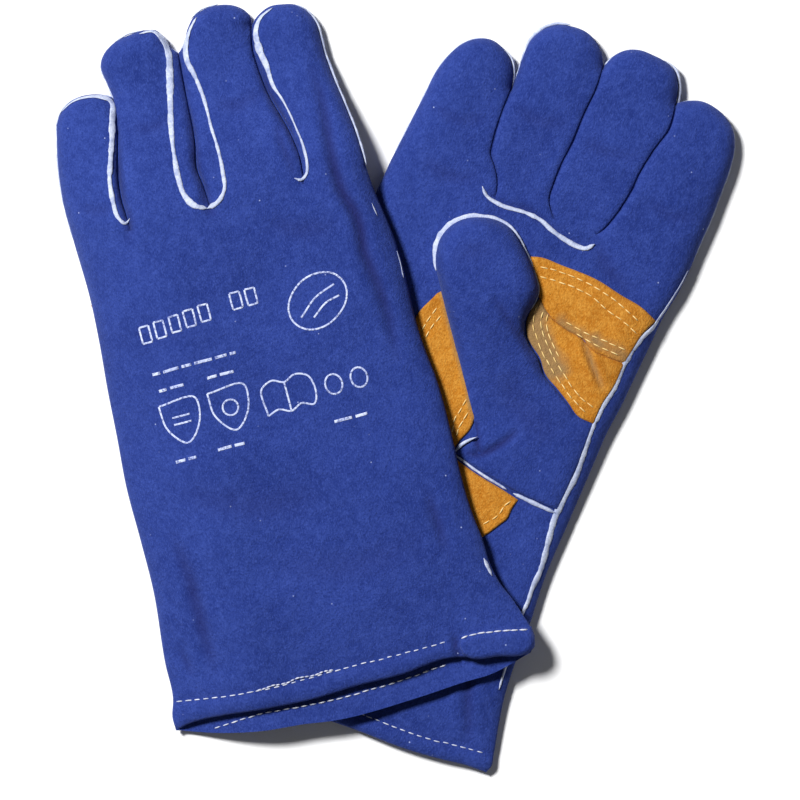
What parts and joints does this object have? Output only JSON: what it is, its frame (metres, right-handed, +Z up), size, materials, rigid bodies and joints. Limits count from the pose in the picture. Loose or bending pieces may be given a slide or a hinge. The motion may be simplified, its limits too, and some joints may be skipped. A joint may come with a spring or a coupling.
{
  "type": "welding gloves",
  "caption": "Crossed leather welding gauntlets, palm down over palm up, with welted seams, sewn palm patches and long open cuffs.",
  "frame": {"origin": "on the table under the middle of the pair's outline", "axes": "+X to the right of the pair seen from above, +Y from the cuffs to the fingers, +Z up from the table"},
  "size_m": [0.3448, 0.3882, 0.0336],
  "materials": {
    "blue_suede": "napped split leather, matt",
    "yellow_suede": "napped split leather, matt, a little stained",
    "white_welt": "cut leather strip, matt",
    "white_thread": "twisted sewing thread",
    "grey_fleece": "brushed cotton fleece",
    "cream_canvas": "plain-woven cotton canvas"
  },
  "bodies": {
    "lower_glove": {"lower_back_panel": "blue_suede", "lower_palm_panel": "blue_suede", "lower_cuff_front": "blue_suede", "lower_hand_liner": "grey_fleece", "lower_cuff_lining": "cream_canvas", "lower_little_side_welt": "white_welt", "lower_index_side_welt": "white_welt", "lower_thumb_heel": "blue_suede", "lower_palm_patch_upper": "yellow_suede", "lower_palm_patch_lower": "yellow_suede", "lower_crotch_patch": "yellow_suede", "lower_wrist_patch": "yellow_suede", "lower_wrist_welt": "white_welt", "lower_finger_seam_welt": "white_welt", "lower_hem_thread": "white_thread"},
    "lower_thumb": {"lower_thumb_outer": "blue_suede", "lower_thumb_inner": "blue_suede", "lower_thumb_welt": "white_welt"},
    "lower_index": {"lower_index_back": "blue_suede", "lower_index_front": "blue_suede", "lower_index_welt": "white_welt"},
    "lower_middle": {"lower_middle_back": "blue_suede", "lower_middle_front": "blue_suede", "lower_middle_welt": "white_welt"},
    "lower_ring": {"lower_ring_back": "blue_suede", "lower_ring_front": "blue_suede", "lower_ring_welt": "white_welt"},
    "lower_little": {"lower_little_back": "blue_suede", "lower_little_front": "blue_suede", "lower_little_welt": "white_welt"},
    "upper_glove": {"upper_back_panel": "blue_suede", "upper_palm_panel": "blue_suede", "upper_cuff_front": "blue_suede", "upper_hand_liner": "grey_fleece", "upper_cuff_lining": "cream_canvas", "upper_little_side_welt": "white_welt", "upper_index_side_welt": "white_welt", "upper_thumb_heel": "blue_suede", "upper_palm_patch_upper": "yellow_suede", "upper_palm_patch_lower": "yellow_suede", "upper_crotch_patch": "yellow_suede", "upper_wrist_patch": "yellow_suede", "upper_wrist_welt": "white_welt", "upper_finger_seam_welt": "white_welt", "upper_hem_thread": "white_thread"},
    "upper_thumb": {"upper_thumb_outer": "blue_suede", "upper_thumb_inner": "blue_suede", "upper_thumb_welt": "white_welt"},
    "upper_index": {"upper_index_back": "blue_suede", "upper_index_front": "blue_suede", "upper_index_welt": "white_welt"},
    "upper_middle": {"upper_middle_back": "blue_suede", "upper_middle_front": "blue_suede", "upper_middle_welt": "white_welt"},
    "upper_ring": {"upper_ring_back": "blue_suede", "upper_ring_front": "blue_suede", "upper_ring_welt": "white_welt"},
    "upper_little": {"upper_little_back": "blue_suede", "upper_little_front": "blue_suede", "upper_little_welt": "white_welt"}
  },
  "joints": [
    {"name": "upper_glove_lift", "type": "slide", "parent": "lower_glove", "child": "upper_glove", "axis": [0, 0, 1], "range_m": [0, 0.15]},
    {"name": "lower_thumb_bend", "type": "hinge", "parent": "lower_glove", "child": "lower_thumb", "pos_m": [0.04808, 0.02211, 0.0321], "axis": [1, 0, 0], "range_deg": [0, 60]},
    {"name": "lower_index_bend", "type": "hinge", "parent": "lower_glove", "child": "lower_index", "pos_m": [0.02221, 0.10602, 0.016], "axis": [0.9397, -0.342, 0], "range_deg": [0, 60]},
    {"name": "lower_middle_bend", "type": "hinge", "parent": "lower_glove", "child": "lower_middle", "pos_m": [0.06206, 0.09151, 0.016], "axis": [0.9397, -0.342, 0], "range_deg": [0, 60]},
    {"name": "lower_ring_bend", "type": "hinge", "parent": "lower_glove", "child": "lower_ring", "pos_m": [0.08874, 0.0818, 0.016], "axis": [0.9397, -0.342, 0], "range_deg": [0, 60]},
    {"name": "lower_little_bend", "type": "hinge", "parent": "lower_glove", "child": "lower_little", "pos_m": [0.12502, 0.0686, 0.016], "axis": [0.9397, -0.342, 0], "range_deg": [0, 60]},
    {"name": "upper_thumb_bend", "type": "hinge", "parent": "upper_glove", "child": "upper_thumb", "pos_m": [-0.07017, 0.02072, 0.0003], "axis": [-0.9962, 0.0872, 0], "range_deg": [0, 45]},
    {"name": "upper_index_bend", "type": "hinge", "parent": "upper_glove", "child": "upper_index", "pos_m": [-0.02766, 0.10665, 0.0176], "axis": [-0.9659, -0.2588, 0], "range_deg": [0, 60]},
    {"name": "upper_middle_bend", "type": "hinge", "parent": "upper_glove", "child": "upper_middle", "pos_m": [-0.06224, 0.09738, 0.0176], "axis": [-0.9659, -0.2588, 0], "range_deg": [0, 60]},
    {"name": "upper_ring_bend", "type": "hinge", "parent": "upper_glove", "child": "upper_ring", "pos_m": [-0.11488, 0.08328, 0.01592], "axis": [-0.9659, -0.2588, 0], "range_deg": [0, 60]},
    {"name": "upper_little_bend", "type": "hinge", "parent": "upper_glove", "child": "upper_little", "pos_m": [-0.14628, 0.07487, 0.00274], "axis": [-0.9659, -0.2588, 0], "range_deg": [0, 60]}
  ]
}
